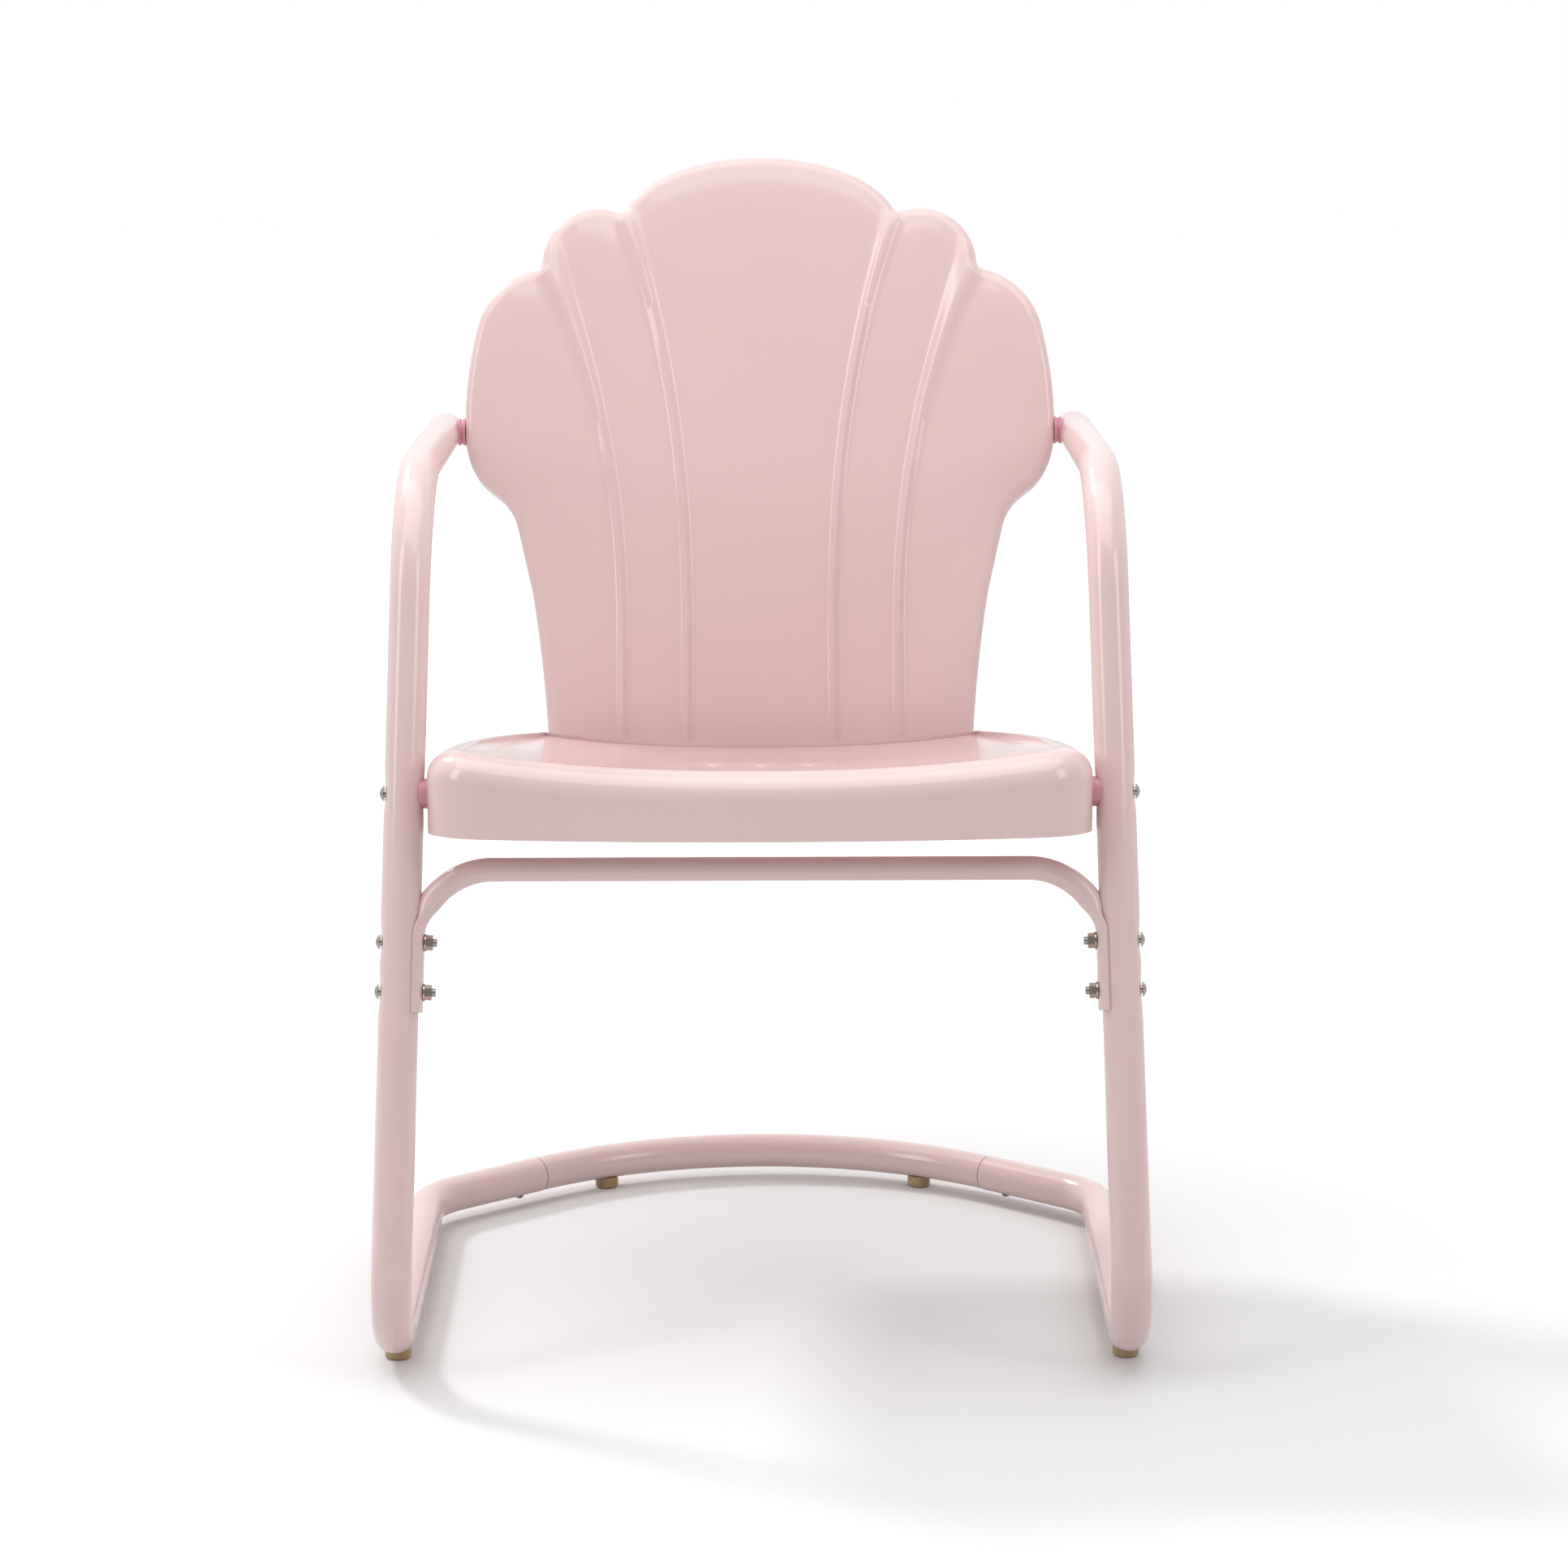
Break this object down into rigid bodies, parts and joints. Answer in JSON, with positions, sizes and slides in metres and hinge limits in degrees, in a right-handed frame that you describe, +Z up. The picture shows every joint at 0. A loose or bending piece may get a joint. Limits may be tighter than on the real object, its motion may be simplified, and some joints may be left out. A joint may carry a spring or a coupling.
{
  "type": "metal patio chair",
  "caption": "Pressed sheet-metal lawn armchair with a scalloped back, on a springy bent-tube cantilever frame",
  "frame": {"origin": "centre of the chair's bounding box on the floor", "axes": "+X to the sitter's left, which is the picture's right; the chair faces -Y; +Z up"},
  "size_m": [0.6006, 0.632, 0.9025],
  "materials": {
    "powder_coat": "gloss pale pink powder coat",
    "spacer": "smooth moulded rose plastic",
    "bright_steel": "bright zinc-plated steel",
    "plug": "moulded pale pink plastic",
    "glide": "moulded amber plastic"
  },
  "bodies": {
    "root": {"left_side_frame": "powder_coat", "right_side_frame": "powder_coat", "rear_base_tube": "powder_coat", "front_brace": "powder_coat", "seat_shell": "powder_coat", "back_shell": "powder_coat", "left_seat_spacer": "spacer", "right_seat_spacer": "spacer", "left_back_spacer": "spacer", "right_back_spacer": "spacer", "seat_bolts": "bright_steel", "seat_washers": "bright_steel", "seat_nuts": "bright_steel", "arm_bolts": "bright_steel", "arm_washers": "bright_steel", "arm_inserts": "bright_steel", "brace_bolts": "bright_steel", "brace_washers": "bright_steel", "brace_nuts": "bright_steel", "shell_bolts": "bright_steel", "shell_washers": "bright_steel", "shell_nuts": "bright_steel", "base_screws": "bright_steel", "left_arm_plug": "plug", "right_arm_plug": "plug", "front_left_glide": "glide", "front_right_glide": "glide", "rear_left_glide": "glide", "rear_right_glide": "glide"}
  },
  "joints": []
}
